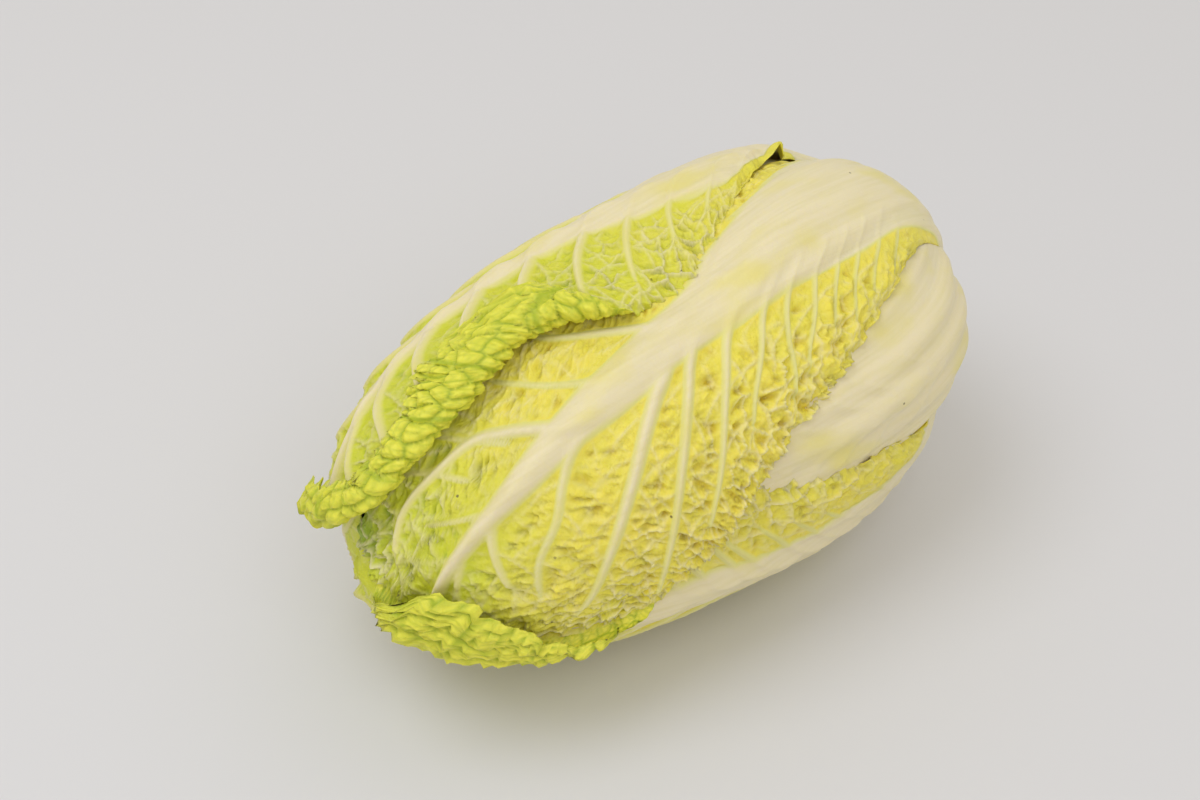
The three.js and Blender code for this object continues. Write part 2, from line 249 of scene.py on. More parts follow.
def ray_to(axes, across, along):
    """The ray from the head's centre to a flat place on a leaf."""
    out, side = axes
    angle = angle_along(along)
    swing = across / reach(np.cos(angle), np.sin(angle))
    flat = np.cos(angle)[..., None] * np.array([1, 0, 0]) + np.sin(angle)[..., None] * out
    return np.cos(swing)[..., None] * flat + np.sin(swing)[..., None] * side


def on_leaf(axes, ray):
    """The flat place on a leaf that a ray meets, across and along."""
    out, side = axes
    angle = np.arctan2(ray @ out, ray[..., 0])
    angle = np.where(angle < -math.pi / 2, angle + 2 * math.pi, angle)
    distance = reach(np.cos(angle), np.sin(angle))
    across = distance * np.arcsin(np.clip(ray @ side, -1, 1))
    along = np.where(angle < 0, -length_to(-angle), length_to(angle))
    return across, along


def point_at(ray, depth, pressed):
    """The point on a ray so deep inside the outline, raised where the underside is flat."""
    crosswise = np.hypot(ray[..., 1], ray[..., 2])
    distance = reach(ray[..., 0], crosswise) - depth
    x = ray[..., 0] * distance
    widening = 1 + TAPER * x / HALF_LENGTH
    y = ray[..., 1] * distance * widening
    z = ray[..., 2] * distance * widening + AXIS_HEIGHT + AXIS_RISE * x
    over = np.maximum(pressed - PRESS_GIVE, 0)
    lowest = over - (PRESSED_FLAT - PRESS_GIVE) * (1 - np.exp(-over / PRESS_FADE))
    z = np.maximum(z, lowest)
    return np.stack([x + SHIFT_X, y + SHIFT_Y, z], -1)


# ======== the leaves
def half_width(widths, share):
    """From a leaf's middle line to its margin."""
    full = value_at(widths, share)
    past = np.clip((share - TIP_ROUNDING) / (1 - TIP_ROUNDING), 0, 1)
    return TIP_HALF_WIDTH + (full - TIP_HALF_WIDTH) * np.sqrt(1 - past * past)


def cover(leaf, ray):
    """How much of a leaf's thickness a ray meets, how far outside the leaf it passes, and the
    share of its length there."""
    across, along = on_leaf(leaf.axes, ray)
    share = along / leaf.length
    middle = value_at(leaf.sway, share)
    low = middle - half_width(leaf.left, share)
    high = middle + half_width(leaf.right, share)
    beside = np.maximum(np.maximum(low - across, across - high), 0)
    beyond = np.maximum(np.maximum(along - leaf.length, BASE_WRAP * BASE_AT - along), 0)
    crosswise = np.hypot(ray[..., 1], ray[..., 2])
    radius = crosswise * reach(ray[..., 0], crosswise)
    slope = np.minimum(SLOPE, np.maximum(radius, BASE_AT))
    off = np.hypot(beside, beyond)
    return 1 - smooth((off - SHOULDER) / slope), off, share


def stack_depth(leaf, ray):
    """Depth of the leaves outside this one, and how surely one of them hides the place."""
    depth = np.zeros(ray.shape[:-1])
    hidden = np.zeros(ray.shape[:-1])
    for over in LEAVES[:leaf.number]:
        covered, off, share = cover(over, ray)
        depth += covered * (BLADE + value_at(over.rise, share) + over.gap)
        hidden = np.maximum(hidden, 1 - smooth(off / HIDING_FADE))
    return depth, hidden


NONE = [0, 0]


def upper_lift(beside, share):
    """The upper leaf stands off the head towards its tip, least at its rib."""
    high = 3 * ease(share, 0.45, 0.2) + 2.2 * ease(share, 0.68, 0.1)
    spread = 0.45 + 0.55 * ease(np.abs(beside), 2, 16)
    return high * spread * ease(beside, -48, 20)


# ---- side veins: half width at either end, height at the start, then each point's place
# across and along the leaf
UPPER_VEINS = [
    (1.5, 0.5, 1.0, 4, 92, 12, 98, 22, 104),
    (1.6, 0.5, 1.1, 10, 108, 20, 117, 31, 126),
    (1.8, 0.5, 1.3, 14, 126, 26, 136, 40, 146),
    (2.0, 0.5, 1.4, 12, 142, 26, 156, 48, 168),
    (2.2, 0.6, 1.6, 10, 160, 24, 175, 44, 190, 58, 198),
    (2.6, 0.7, 2.2, 7, 178, 22, 196, 40, 211, 52, 219),
    (2.9, 0.9, 3.0, 3, 200, 16, 216, 28, 228, 37, 240),
    (3.1, 1.0, 3.4, -1, 222, 11, 238, 22, 250, 33, 262),
    (3.1, 1.0, 3.4, -3, 246, 8, 259, 20, 270, 34, 280),
    (2.8, 0.9, 3.0, -5, 268, 6, 281, 18, 291, 28, 301),
    (2.4, 0.8, 2.6, -8, 288, 1, 300, 10, 310, 16, 322),
    (2.2, 0.6, 1.6, -6, 150, -22, 168, -42, 184),
    (2.4, 0.7, 2.0, -6, 176, -24, 196, -46, 214),
    (2.6, 0.7, 2.4, -8, 200, -24, 222, -48, 240),
    (2.6, 0.8, 2.6, -9, 226, -26, 246, -46, 262),
    (2.5, 0.8, 2.6, -10, 250, -24, 268, -42, 284),
    (2.2, 0.7, 2.4, -12, 274, -22, 290, -36, 304),
]
FRONT_VEINS = [
    (0.9, 0.4, 0.6, 0, 84, 9, 92, 18, 98),
    (1.0, 0.4, 0.7, 0, 96, 10, 106, 22, 112),
    (1.1, 0.4, 0.8, 0, 108, 12, 118, 28, 124),
    (1.2, 0.4, 0.8, 0, 119, 13, 129, 26, 135),
    (1.4, 0.5, 1.0, 0, 131, 13, 139, 24, 147, 36, 152),
    (1.5, 0.5, 1.1, 0, 144, 15, 153, 29, 156, 44, 162),
    (1.7, 0.5, 1.3, 1, 156, 16, 166, 31, 177, 46, 185),
    (2.1, 0.6, 1.6, 3, 173, 24, 187, 50, 204, 80, 232),
    (2.4, 0.7, 2.0, 3, 189, 18, 200, 37, 214, 62, 236, 90, 268, 108, 296),
    (3.2, 0.9, 2.6, 7, 204, 18, 217, 34, 234, 54, 259, 73, 290, 80, 320),
    (2.0, 0.8, 1.8, 12, 243, 20, 253, 32, 265, 44, 284, 64, 304),
    (2.3, 0.8, 1.9, 15, 274, 22, 284, 37, 294, 53, 303),
    (1.8, 0.7, 1.6, 19, 290, 27, 304, 36, 316),
    (1.6, 0.6, 1.4, 16, 272, 12, 286, 6, 298, 1, 306),
    (1.5, 0.6, 1.3, 19, 284, 21, 296, 19, 308),
    (2.6, 0.8, 2.0, -14, 160, -30, 176, -50, 186),
    (2.8, 0.9, 2.2, -12, 194, -21, 213, -31, 231, -44, 246),
    (1.6, 0.7, 1.4, -5, 222, -12, 237, -25, 254, -36, 266),
    (3.1, 1.2, 2.8, 5, 236, -6, 257, -12, 272, -10, 290, -6, 305, 4, 316, 18, 324),
    (1.3, 0.6, 1.2, -12, 272, -22, 284, -30, 292),
    (1.2, 0.5, 1.1, -10, 290, -17, 300, -20, 312),
]

# ---- wrapper leaves, outermost first, with the outlines that the solids have.
# turn: the angle round the head, 0 is up and 90 the front (-Y); cells: rows and columns.
# A rim of width `strip` is rolled back where roll_right or, at the tip, roll_tip is over 0. It
# folds `inset` inside the margin, with the radius rho, and turns by turn_back radians; at the
# tip it begins at tip_from and is whole at tip_full. press lays a margin on the leaf beneath.
# The inner face is as fine as the outer one from fine_rows and fine_cols on.
WRAPPERS = [
    dict(
        side="upper", turn=-32, length=338,
        sway=[-10, -18, -20, -3, 7, 7, 3, -4, -8, -11, -12],
        left=[22, 32, 42, 50, 58, 62, 66, 68, 64, 54, 30],
        right=[20, 20, 18, 17, 33, 54, 58, 46, 51, 47, 30], veins=UPPER_VEINS,
        rib=[20, 25, 27, 23, 19, 13, 8, 5, 3.5, 3, 2.5],
        cells=(330, 190), seed=11, strip=28, inset=3, rho=4, turn_back=3.3, edge_strip=1,
        pillow=6.5, ragged=1.5, crumple=2, tip_in=18, tip_strip=0.62, tip_dense=0.6, press=4.5,
        roll_right=[0, 0, 0, 0, 0, 0, 0, 0.8, 1, 1, 1], roll_tip=1, tip_from=-52, tip_full=-10,
        frill_right=[0, 0, 1, 2, 1.5, 1.5, 1, 0, 0, 0, 0], frill_left=[0, 0, 0.5, 1, 1.4, 1.8],
        pits=[0.2, 0.4, 0.8, 1.2, 1.6, 2.2, 2.8, 3.2, 3.2, 3, 2.6], fine_rows=0.5, fine_cols=0.3,
        crest=2, lift=upper_lift,
        green=lambda beside, share: 0.35 + 0.65 * ease(share, 0.3, 0.45)),
    dict(
        side="front", turn=28, length=340,
        sway=[-8, -18, -26, -23, -18, -10, -3, 4, 14, 24, 36],
        left=[24, 32, 38, 46, 54, 62, 68, 70, 68, 60, 46],
        right=[24, 29, 33, 43, 58, 63, 78, 86, 88, 86, 62], veins=FRONT_VEINS,
        rib=[20, 25, 27, 23, 19, 13, 10, 8, 4.8, 2.4, 1.4],
        cells=(370, 200), seed=23, strip=34, inset=4, rho=4.2, turn_back=3.3, pillow=7,
        tip_in=3, tip_bulge=17, tip_dense=1.3, hollow=(-12, 334), press=3, scallop=3,
        pillow_long=1.2, ridged=1.5, crumple=3.5, crest=3, fine_rows=0.84,
        roll_right=[0, 0, 0, 0, 0, 0, 0, 0, 0, 0.25, 1], roll_tip=1, tip_from=6, tip_full=26,
        frill_right=[0, 0, 0.5, 1, 1.5, 2.2, 3.2, 4.2, 3, 1.5, 0],
        pits=[0.1, 0.2, 0.5, 0.8, 1, 1.1, 1.2, 1.3, 1.5, 1.8, 2],
        green=lambda beside, share: 0.1 + 1.1 * ease(share, 0.7, 0.25)
        * (1 - 0.75 * ease(beside, -8, 50))),
    dict(
        side="lower", turn=118, length=348,
        sway=[10, 14, 14, 9, 0, -10, -16, -14, -9, -4, 0],
        left=[17, 15, 21, 42, 44, 45, 54, 64, 66, 56, 34],
        right=[24, 32, 36, 38, 44, 50, 54, 56, 56, 48, 28],
        cells=(260, 140), seed=37, press=4.5, tip_in=-8, ragged=1.5, crumple=2.2,
        frill_left=[0, 0, 0.6, 1.6, 2.4, 2.6, 2.2, 2, 2, 3, 4]),
    dict(
        side="back", turn=-112, length=346,
        sway=[0, -3, -6, -6, -3, 0, 4, 8, 8, 6, 4],
        left=[24, 32, 38, 42, 46, 50, 54, 56, 56, 48, 28],
        right=[26, 40, 54, 64, 70, 73, 74, 74, 68, 54, 30],
        cells=(250, 120), seed=41, crumple=2.2, press=2.5, tip_in=-6, ragged=1.5),
    dict(
        side="side", turn=75, length=336,
        sway=[-3, -7, -7, -6, -5, -4, 0, 2, 2, 0, 0],
        left=[26, 35, 45, 53, 62, 72, 78, 76, 66, 50, 28],
        right=[26, 35, 45, 53, 62, 70, 76, 76, 66, 50, 28], rib=WIDE_RIB,
        cells=(260, 130), seed=53, flutes=0.75, tip_in=-12, ragged=1.5, crumple=2.2),
    dict(
        side="under", turn=184, length=340,
        sway=[0, 0], left=WIDE_BLADE, right=WIDE_BLADE, rib=WIDE_RIB,
        cells=(220, 110), seed=67, tip_in=-10, ragged=1.5, crumple=2),
]
# what a leaf has unless it says otherwise
PLAIN = dict(
    rise=RIB_RISE, gap=WRAPPER_GAP, slot="wrapper_leaf", veins=None, rib=RIB, strip=0, inset=0,
    rho=4.5, turn_back=3.2, roll_right=NONE, roll_tip=0, tip_from=0, tip_full=1, tip_in=0,
    tip_bulge=0, tip_strip=1, tip_dense=0, hollow=None, scallop=3.5, edge_strip=0, press=1.3,
    frill_right=[0, 0, 0.5, 1, 1.6, 6], frill_left=[0, 0, 0.5, 1, 1.6, 6], ragged=1, ridged=1,
    flutes=0.15, crest=1.2, crumple=1.5, pillow=6, pillow_long=0.85, vein_height=1.25,
    pits=[0.2, 0.6, 1, 1.2, 1.4, 1.6], fine_rows=2, fine_cols=2,
    lift=lambda beside, share: 0.0,
    green=lambda beside, share: (0.2 + 0.6 * ease(share, 0.6, 0.3)
                                 + 0.5 * ease(share, 0.88, 0.08)))
for leaf in WRAPPERS:
    leaf.update(name=f"{leaf['side']}_leaf", node=f"wrapper_leaf_{leaf['side']}")
FOLDED = []
for i in range(2 * GROUP_SIZE):
    group = "middle_leaf" if i < GROUP_SIZE else "inner_leaf"
    node = f"{group}_{i % GROUP_SIZE + 1}"
    FOLDED.append(dict(
        name=f"{node}_looks", node=node, turn=FOLDED_TURN + GOLDEN_ANGLE * i,
        length=FOLDED_LENGTH - FOLDED_SHORTENING * i, sway=[0, 0], left=FOLDED_BLADE,
        right=FOLDED_BLADE, slot="folded_leaf", cells=(60, 30), seed=100 + i,
        rise=FOLDED_RIB_RISE, gap=FOLDED_GAP))
LEAVES = [SimpleNamespace(**{**PLAIN, **leaf}) for leaf in WRAPPERS + FOLDED]
for number, leaf in enumerate(LEAVES):
    leaf.number, leaf.axes = number, leaf_axes(leaf.turn)


# ======== one leaf's flat outline
def margin_x(leaf, side, along, extra=0.0):
    """How far across the leaf its margin lies."""
    wide = half_width(leaf.right if side > 0 else leaf.left, along / leaf.length)
    return value_at(leaf.sway, along / leaf.length) + side * (wide + extra)


def tip_roll(leaf, x):
    """How much of the tip's rim is rolled back beside x, 0 to 1."""
    return smooth((x - leaf.tip_from) / (leaf.tip_full - leaf.tip_from))


def rim_roll(leaf, x, y):
    """How much of the rim is rolled back at a place on the margin, 0 to 1."""
    share = y / leaf.length
    right = x > value_at(leaf.sway, share)
    at_side = np.where(right, value_at(leaf.roll_right, share), 0.0)
    at_tip = leaf.roll_tip * tip_roll(leaf, x)
    return np.clip(np.where(y > leaf.length * SIDE_SHARE, at_tip, at_side), 0, 1)


def tip_reach(leaf, x, grown):
    """How far along the leaf its tip reaches beside x."""
    plain = leaf.length - leaf.tip_in
    if grown < 0:
        return plain + grown * leaf.strip * leaf.roll_tip
    bulge = leaf.tip_bulge * bell(x - BULGE_AT, BULGE_WIDTH)
    strip = leaf.tip_strip * leaf.strip * leaf.roll_tip
    return plain + bulge + grown * strip * tip_roll(leaf, x) ** 1.5


def tip_arc(leaf, corner, tip_x, grown, aside, upward):
    """The tip's margin, from the end of a side margin to the middle of the tip."""
    x = tip_x + (corner[0] - tip_x) * aside
    return x, corner[1] + (tip_reach(leaf, x, grown) - corner[1]) * upward


def outline(leaf, grown):
    """The leaf's edge as one line, up the right margin, over the tip and down the left one, and
    its sides and tip alone. `grown` is the share of the rolled strip that lies outside it: 1 for
    the edge in the flat, and below 0 for the line that the strip folds along."""
    along = np.linspace(BASE_AT, leaf.length * SIDE_SHARE, 150)
    share = along / leaf.length
    strip = grown * leaf.strip * value_at(leaf.roll_right, share)
    if grown > 0:
        strip = strip * (1 - (1 - leaf.tip_strip) * ease(share, 0.78, 0.1))
    sides = {side: np.stack([margin_x(leaf, side, along, extra), along], 1)
             for side, extra in ((1, strip), (-1, 0.0))}
    tip_x = float(value_at(leaf.sway, np.array(1.0)))
    turn = np.linspace(0, math.pi / 2, 40)
    arcs = {side: np.stack(tip_arc(leaf, sides[side][-1], tip_x, grown, np.cos(turn),
                                   np.sin(turn)), 1) for side in (1, -1)}
    line = np.concatenate([sides[1], arcs[1][1:], arcs[-1][-2::-1], sides[-1][-2::-1]])
    return line, sides, (tip_x, tip_reach(leaf, tip_x, grown))


def flat_grid(leaf, u, v):
    """Flat places of the grid. u runs from -1 (left) to 1 (right), v from the base to the tip."""
    _, sides, tip = outline(leaf, 1.0)
    along = BASE_AT + (tip[1] - BASE_AT) * v
    middle = np.stack([value_at(leaf.sway, along / leaf.length), along], 1)
    run = np.linspace(0, 1, len(sides[1]))
    columns = []
    for across in u:
        margin = sides[1 if across > 0 else -1]
        off = abs(across)
        edge = np.stack([np.interp(v, run, margin[:, k]) for k in (0, 1)], 1)
        column = (1 - off) * middle + off * edge
        end = tip_arc(leaf, margin[-1], tip[0], 1.0, math.sin(off * math.pi / 2),
                      math.cos(off * math.pi / 2))
        columns.append(column + (np.array(end) - column[-1]) * (v ** 5)[:, None])
    x, y = np.moveaxis(columns, (0, 1, 2), (2, 1, 0))
    round_base = np.maximum(np.sqrt(np.maximum(BASE_AT ** 2 - x ** 2, 0)), BASE_WRAP * BASE_AT)
    return x, y - (BASE_AT - round_base) * ((1 - v) ** BASE_FADE)[:, None]


def spaced(count, density):
    """count + 1 places from 0 to 1, closer together where density is high."""
    fine = np.linspace(0, 1, 2001)
    total = np.concatenate([[0], np.cumsum(density((fine[1:] + fine[:-1]) / 2))])
    return np.interp(np.linspace(0, total[-1], count + 1), total, fine)


def side_veins(leaf):
    """Side veins for a leaf whose own aren't listed."""
    rng = np.random.default_rng(leaf.seed)
    veins = []
    length = leaf.length
    for side in (1, -1):
        along = 0.27 * length + 8 * rng.random()
        while along < 0.93 * length:
            share = along / length
            x0 = float(value_at(leaf.sway, share))
            edge = abs(float(margin_x(leaf, side, np.array(along))) - x0)
            lean = 0.75 + 0.35 * share + 0.15 * rng.random()
            size = max(edge * 0.93, 10)
            points = [(x0 + side * size * k,
                       along + size * lean * (k ** 0.85) + 2.5 * (rng.random() - 0.5))
                      for k in (0.12, 0.4, 0.7, 1.0)]
            middle = math.sin(math.pi * min(max((share - 0.15) / 0.8, 0), 1))
            strong = (1.5 + 1.1 * middle) * 0.8
            veins.append((points, strong, 0.5, strong * 0.9))
            along += (13 + 6 * rng.random()) * (1.15 - 0.25 * share)
    return veins


def walk(start, heading, step, turns):
    """A path of equal steps, with a turn after each."""
    path = [tuple(start)]
    for turn in turns:
        start = start + step * np.array([math.cos(heading), math.sin(heading)])
        path.append(tuple(start))
        heading += turn
    return path


def branches(leaf, veins):
    """Thinner veins that leave the side veins to both sides, and a fork at the end of each."""
    rng = np.random.default_rng(leaf.seed + 500)
    grown = []
    for points, w0, w1, tall in veins:
        line = curve_through(points)
        run = np.concatenate([[0], np.cumsum(np.hypot(*np.diff(line, axis=0).T))])
        at = 7 + 4 * rng.random()
        side = 1 if rng.random() < 0.5 else -1
        while at < run[-1] - 2:
            i = min(int(np.searchsorted(run, at)), len(line) - 2)
            size = 14 + 12 * rng.random()
            heading = math.atan2(*(line[i + 1] - line[i])[::-1])
            heading += side * (0.95 - 0.35 * rng.random())
            turns = [-(side * 0.22 + 0.25 * (rng.random() - 0.5)) for _ in range(3)]
            share = at / run[-1]
            width = (w0 + (w1 - w0) * share) * 0.42
            grown.append((walk(line[i], heading, size / 3, turns), max(width, 0.42), 0.28,
                          tall * 0.3 * (1 - 0.4 * share) + 0.15))
            at += 8 + 6 * rng.random()
            side = -side
        heading = math.atan2(*(line[-1] - line[-3])[::-1])
        for bend in (0.5, -0.42):
            path = walk(line[-4], heading + 0.4 * bend, 4.5, [0.35 * bend] * 3)
            grown.append((path, max(w1, 0.6), 0.3, 0.35 * tall))
    return grown


def vein_fields(leaf, x, y):
    """Height of the raised veins, how white the thin ones are, how far the nearest one's flank is,
    and how far outside the side veins a place lies (below 0 inside)."""
    ridge = np.zeros(x.shape)
    white = np.zeros(x.shape)
    flank = np.full(x.shape, 40.0)
    outside = np.full(x.shape, 8.0)
    veins = side_veins(leaf) if leaf.veins is None else \
        [(np.reshape(places, (-1, 2)), w0, w1, tall) for w0, w1, tall, *places in leaf.veins]
    for thin, group in ((False, veins), (True, branches(leaf, veins))):
        pad = 3.5 if thin else 14
        for points, w0, w1, tall in group:
            if not thin:
                x0, y0 = points[0]
                start = y0 - VEIN_LEAD
                rib_x = float(value_at(leaf.sway, start / leaf.length))
                points = [(x0 + (rib_x - x0) * 0.5, start)] + list(points)
            line = curve_through(points, 6)
            low, high = line.min(0) - pad, line.max(0) + pad
            near = (x > low[0]) & (x < high[0]) & (y > low[1]) & (y < high[1])
            if not near.any():
                continue
            d, at, *_ = nearest(x[near], y[near], line)
            width = w0 + (w1 - w0) * at
            fade = 1 - ease(at, 0.82, 0.18)
            if thin:
                white[near] = np.maximum(white[near], bell(d, 0.65) * fade)
            else:
                fade = fade * smooth(at / 0.12)
                off = d - width * fade ** 0.6 + 1.1 * (1 - fade)
                outside[near] = np.minimum(outside[near], off)
            high = tall * (width / w0) ** 0.8 * fade
            ridge[near] = np.maximum(ridge[near], high * bell(d, 0.95 * width))
            off = np.maximum(d - width, 0) + (1.2 if thin else 0) + 8 * (1 - fade)
            flank[near] = np.minimum(flank[near], off)
    return ridge, white, flank, outside


def leaf_height(leaf, x, y, margin_off):
    """How far the leaf's face stands out at a flat place, its height without ribs and crumples,
    how far the rib stands out, and the masks that colour it."""
    seed = leaf.seed
    share = y / leaf.length
    beside = x - value_at(leaf.sway, share)
    off = np.abs(beside)

    # the rib, its flutes and the veins
    rib = value_at(leaf.rib, share)
    rib_share = np.cos(np.clip(off / (RIB_SPREAD * rib), 0, 1) * math.pi / 2) ** 2
    rib_share = rib_share * ease(margin_off, -1, 14)
    rise = value_at(leaf.rise, share)
    base = -rise * (1 - rib_share)
    feather = 0.13 * noise(beside / 4.5, y / 30, seed + 9)
    white = 1 - smooth((off / rib - 0.85 + feather) / 0.42)
    ridge, thin, flank, outside = vein_fields(leaf, x, y)
    rib_end = 12 * ease(y / leaf.length, 0.93, 0.06)
    rib_off = (off / rib - 1.05 + feather) * rib + rib_end
    ribbed = 0.7 * leaf.ridged * noise(beside / 9 + 3, y / 110, seed + 7)
    ribbed += 0.35 * leaf.ridged * noise(beside / 4.5, y / 70, seed + 8)
    drift = 1.5 * noise(beside / 30, y / 90, seed + 10)
    ribbed += leaf.flutes * np.cos(2 * np.pi * beside / 15 + drift)
    ribbed *= white * (1 - ease(share, 0.45, 0.3))
    crest = leaf.crest * rib_share * ease(share, 0.2, 0.25)

    # the blade's blisters, the net of fine veins between them, and its folds
    blade = (1 - white) * ease(share, 0.08, 0.1)
    pit = 1 - np.exp(-flank / 2.2)
    warp = 3.0 * noise(x / 13, y / 13, seed + 1)
    warp2 = 1.2 * noise(x / 5, y / 5, seed + 6)
    wall = BLISTER * cells((x + warp) / BLISTER, (y - warp) / BLISTER, seed + 2)
    fine = WRINKLE * cells((x + warp + warp2) / WRINKLE, (y + warp - warp2) / WRINKLE, seed + 3)
    net = bell(wall, 0.65)
    net_fine = bell(fine, 0.4)
    out_along = off * 0.80 + y * 0.60
    out_across = off * 0.60 - y * 0.80
    folds = 1 - 2 * np.abs(noise((out_along + warp + warp2) / 4.6, out_across / 12 + 0.12 * warp,
                                 seed + 4))
    folds2 = 1 - 2 * np.abs(noise((out_along - warp + 9) / 2.6, out_across / 7, seed + 14))
    soft = noise(x / 8, y / 8, seed + 5)
    outer_zone = smooth((off - rib) / 12)
    far_out = outer_zone * (1 - ease(margin_off, 18, 38))
    far_out = far_out * ease(share, 0.3, 0.2)
    sunk = -(value_at(leaf.pits, share) + 0.9 * far_out)
    raised = (0.45 + 1.5 * far_out) * net + 0.25 * net_fine
    crumpled = leaf.crumple * (0.75 * folds + 0.34 * folds2 + 0.45 * soft - 0.15)
    rough = blade * pit * (sunk + raised + outer_zone * crumpled)

    high = base + crest + leaf.vein_height * ridge * (1 - 0.55 * white) + rough + ribbed
    butt = 30 * (1 - ease(share, 0.04, 0.12))
    # deep: painted shade in the blade's valleys, where its folds and crumples sink and away from
    # the raised vein net
    valley_shade = 0.35 - 0.62 * folds - 0.3 * folds2 - 0.45 * soft - 0.3 * net
    masks = dict(vein=np.clip(np.minimum(outside, rib_off - butt), -8, 8), thin=thin * blade,
                 net=(net * (0.8 + 1.4 * far_out) + net_fine * 0.35) * pit * blade,
                 deep=smooth(valley_shade / 0.9) * blade * pit)
    return high, base, rise, masks


def quads_of(index):
    """The faces of a grid of vertices."""
    corners = index[:-1, :-1], index[1:, :-1], index[1:, 1:], index[:-1, 1:]
    return np.stack([corner.ravel() for corner in corners], 1)


def stitch(fine, kept, coarse):
    """Triangles between a fine edge's vertices and the fewer ones of the edge behind it."""
    faces = []
    for k, (low, high) in enumerate(zip(kept[:-1], kept[1:])):
        middle = (low + high + 1) // 2
        faces += [(fine[m], fine[m + 1], coarse[k + (m >= middle)]) for m in range(low, high)]
        faces.append((coarse[k], fine[middle], coarse[k + 1]))
    return faces


def new_object(name, mesh):
    thing = bpy.data.objects.new(name, mesh)
    bpy.context.scene.collection.objects.link(thing)
    return thing


def write_attribute(mesh, key, values):
    layer = mesh.attributes.new(key, "FLOAT", "POINT")
    layer.data.foreach_set("value", values.astype(np.float32))


def grid_mesh(name, outer, inner, masks, uv, rows_kept, cols_kept):
    """A closed leaf: a fine grid outside, and inside it only the rows and columns named."""
    rows, cols = outer.shape[:2]
    kept = np.ix_(rows_kept, cols_kept)
    front = np.arange(rows * cols).reshape(rows, cols)
    back = rows * cols + np.arange(len(rows_kept) * len(cols_kept)).reshape(len(rows_kept), -1)
    rims = np.array(
        stitch(front[0], cols_kept, back[0])
        + stitch(front[:, -1], rows_kept, back[:, -1])
        + stitch(front[-1, ::-1], [cols - 1 - k for k in cols_kept[::-1]], back[-1, ::-1])
        + stitch(front[::-1, 0], [rows - 1 - k for k in rows_kept[::-1]], back[::-1, 0]))
    quads = np.concatenate([quads_of(front), quads_of(back)[:, [0, 3, 2, 1]]])
    verts = np.concatenate([outer.reshape(-1, 3), inner[kept].reshape(-1, 3)]) * MM
    corners = np.concatenate([quads.ravel(), rims.ravel()]).astype(np.int32)
    starts = np.concatenate([np.arange(len(quads)) * 4,
                             len(quads) * 4 + np.arange(len(rims)) * 3]).astype(np.int32)
    mesh = bpy.data.meshes.new(name)
    mesh.vertices.add(len(verts))
    mesh.vertices.foreach_set("co", verts.ravel())
    mesh.loops.add(len(corners))
    mesh.loops.foreach_set("vertex_index", corners)
    mesh.polygons.add(len(starts))
    mesh.polygons.foreach_set("loop_start", starts)
    mesh.update(calc_edges=True)
    mesh.polygons.foreach_set("use_smooth", np.ones(len(starts), bool))
    for key, values in masks.items():
        write_attribute(mesh, key, np.concatenate([values.ravel(), values[kept].ravel()]))
    uv = np.concatenate([uv.reshape(-1, 2), uv[kept].reshape(-1, 2)])
    layer = mesh.uv_layers.new(name="UVMap")
    layer.data.foreach_set("uv", uv[corners].ravel().astype(np.float32))
    mesh.validate()
    return new_object(name, mesh)


def place(leaf, x, y, high):
    """The point so high over the leaf's own surface, at a flat place."""
    ray = ray_to(leaf.axes, x, y)
    stack, _ = stack_depth(leaf, ray)
    pressed = stack + 0.5 * np.maximum(-high, 0)
    return point_at(ray, stack - high, pressed)


def dome(wall, full=0.42):
    """A rounded top, up from a cell's wall."""
    return 1 - (1 - np.clip(wall / full, 0, 1)) ** 2


def free_edge(leaf, x, y):
    """The margin beside each flat place: how far off and how far round the leaf it is, its
    direction, how much it is rolled back, and the share of a scallop it is at."""
    line, *_ = outline(leaf, 1.0)
    length = float(np.hypot(*np.diff(line, axis=0).T).sum())
    off, along, foot_x, foot_y, _, heading_x, heading_y = nearest(x, y, line[::2])
    run = along * length
    scallop = (run + 4 * noise(run / 40, np.zeros_like(run), leaf.seed + 35)) / SCALLOP
    return SimpleNamespace(
        off=off, run=run, length=length, heading=(heading_x, heading_y),
        rolled=rim_roll(leaf, foot_x, foot_y), scallop=scallop - np.floor(scallop),
        blade=ease(y / leaf.length, 0.16, 0.12))


def ragged(leaf, x, y, edge):
    """Flat places, moved so that the margin gets lobes and teeth."""
    seed, run, zero = leaf.seed, edge.run, np.zeros_like(edge.run)
    teeth = 1.5 * noise(run / 9, zero, seed + 30) + 0.9 * noise(run / 3.6, zero, seed + 31)
    teeth = leaf.ragged * (teeth + 0.45 * noise(run / 1.7, zero, seed + 32)) * edge.blade
    lobes = edge.rolled * leaf.scallop * (np.sqrt(np.sin(np.pi * edge.scallop)) - 0.8)
    shift = (teeth + lobes) * bell(edge.off, 4.5 + 5 * edge.rolled)
    return x + edge.heading[1] * shift, y - edge.heading[0] * shift


